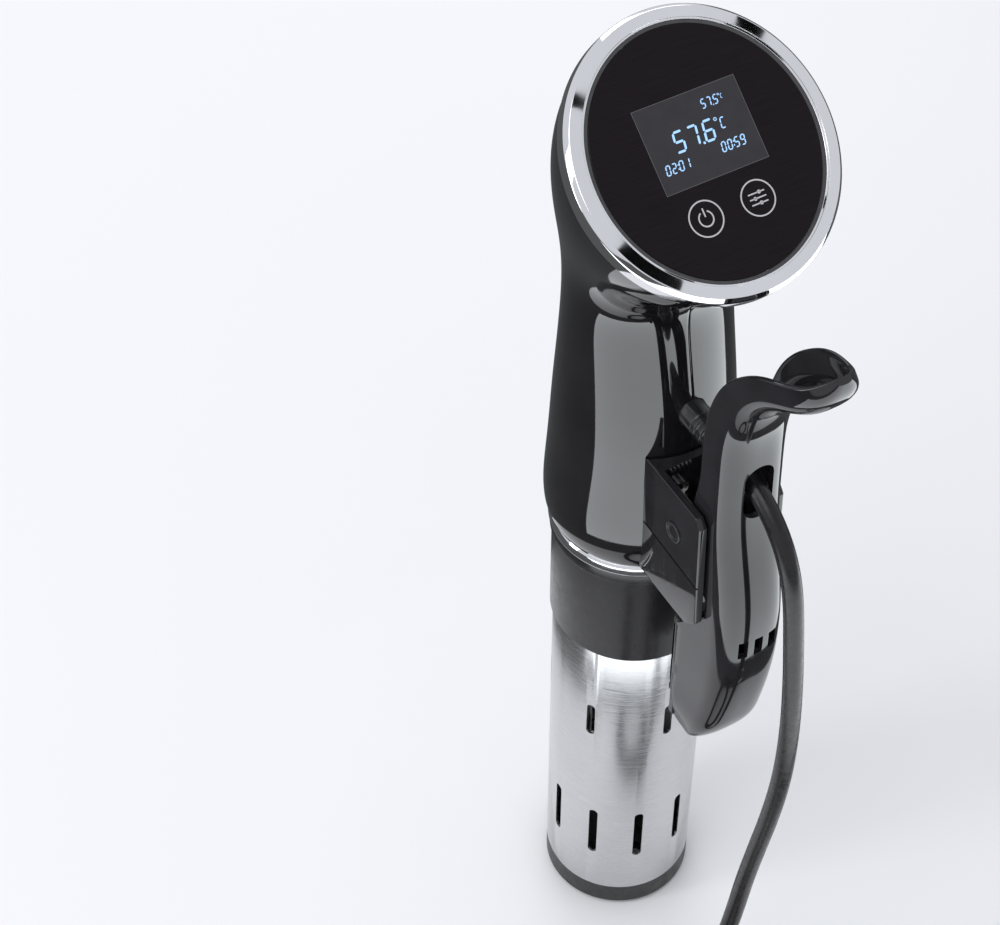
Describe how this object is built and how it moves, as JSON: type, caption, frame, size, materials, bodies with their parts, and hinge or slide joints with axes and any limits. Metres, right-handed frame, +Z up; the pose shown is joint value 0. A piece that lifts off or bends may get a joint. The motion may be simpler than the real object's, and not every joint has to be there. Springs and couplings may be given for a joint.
{
  "type": "sous vide circulator",
  "caption": "Clamp-on immersion circulator with tilted oval touch display, sprung clamp lever, slotted steel sleeve with heater and impeller, and mains cord",
  "frame": {"origin": "middle of the clamp bracket's underside, which rests on the pot's rim", "axes": "+Z up, -Y towards the display's side (outside of the pot), X across the appliance"},
  "size_m": [0.1354, 0.2011, 0.3877],
  "materials": {
    "black_shell": "high gloss black",
    "black_gloss_trim": "gloss black",
    "matte_black": "fine texture",
    "chrome_trim": "polished",
    "display_black": "black printed glass",
    "lcd": "negative LCD",
    "steel": "brushed stainless",
    "steel_bright": "turned",
    "zinc": "zinc plated",
    "bronze": "sintered bronze",
    "rubber_black": "satin",
    "rubber_grey": "satin grey",
    "cord_black": "satin PVC",
    "board_green": "solder mask",
    "component": "moulded",
    "component_blue": "moulded",
    "component_green": "moulded",
    "motor_steel": "plated",
    "fan_white": "moulded",
    "copper": "copper springs"
  },
  "bodies": {
    "housing": {"shell_left": "black_shell", "shell_right": "black_shell", "shell_screws": "zinc", "trim_ring": "chrome_trim", "collar": "black_gloss_trim", "sleeve_seal": "rubber_grey", "steel_sleeve": "steel", "base_cap": "matte_black", "bezel": "chrome_trim", "glass_seal": "rubber_grey", "display_glass": "display_black", "lcd_panel": "lcd", "display_board": "board_green", "touch_pads": "copper", "buzzer": "component", "motor": "motor_steel", "motor_mount": "matte_black", "upper_bush": "bronze", "lower_bush": "bronze", "shaft_seal": "rubber_black", "heater_rods": "steel_bright", "heater_plate": "steel_bright", "temperature_probe": "steel_bright", "level_electrodes": "steel_bright", "power_board": "board_green", "transformer": "component", "relay": "component_blue", "capacitor": "component", "terminal_block": "component_green", "clamp_bracket": "black_gloss_trim", "bracket_screws": "zinc", "pivot_pin": "steel_bright", "pin_clip": "steel_bright", "clamp_spring": "steel_bright", "strain_relief": "rubber_black", "cord": "cord_black", "cord_coil": "cord_black", "cord_tail": "cord_black", "plug": "matte_black", "plug_pins": "steel_bright"},
    "rotor": {"drive_shaft": "steel_bright", "cooling_fan": "fan_white", "impeller": "matte_black"},
    "lever": {"clamp_lever": "black_shell", "jaw_pad": "rubber_black"}
  },
  "joints": [
    {"name": "impeller_spin", "type": "hinge", "parent": "housing", "child": "rotor", "pos_m": [0, 0.039, -0.055], "axis": [0, 0, 1], "continuous": true},
    {"name": "lever_pivot", "type": "hinge", "parent": "housing", "child": "lever", "pos_m": [0, -0.0026, 0.034], "axis": [-1, 0, 0], "range_deg": [-5, 12], "stiffness_Nm_per_rad": 0.9, "springref_deg": -5.73, "deforming": ["clamp_spring"]}
  ]
}
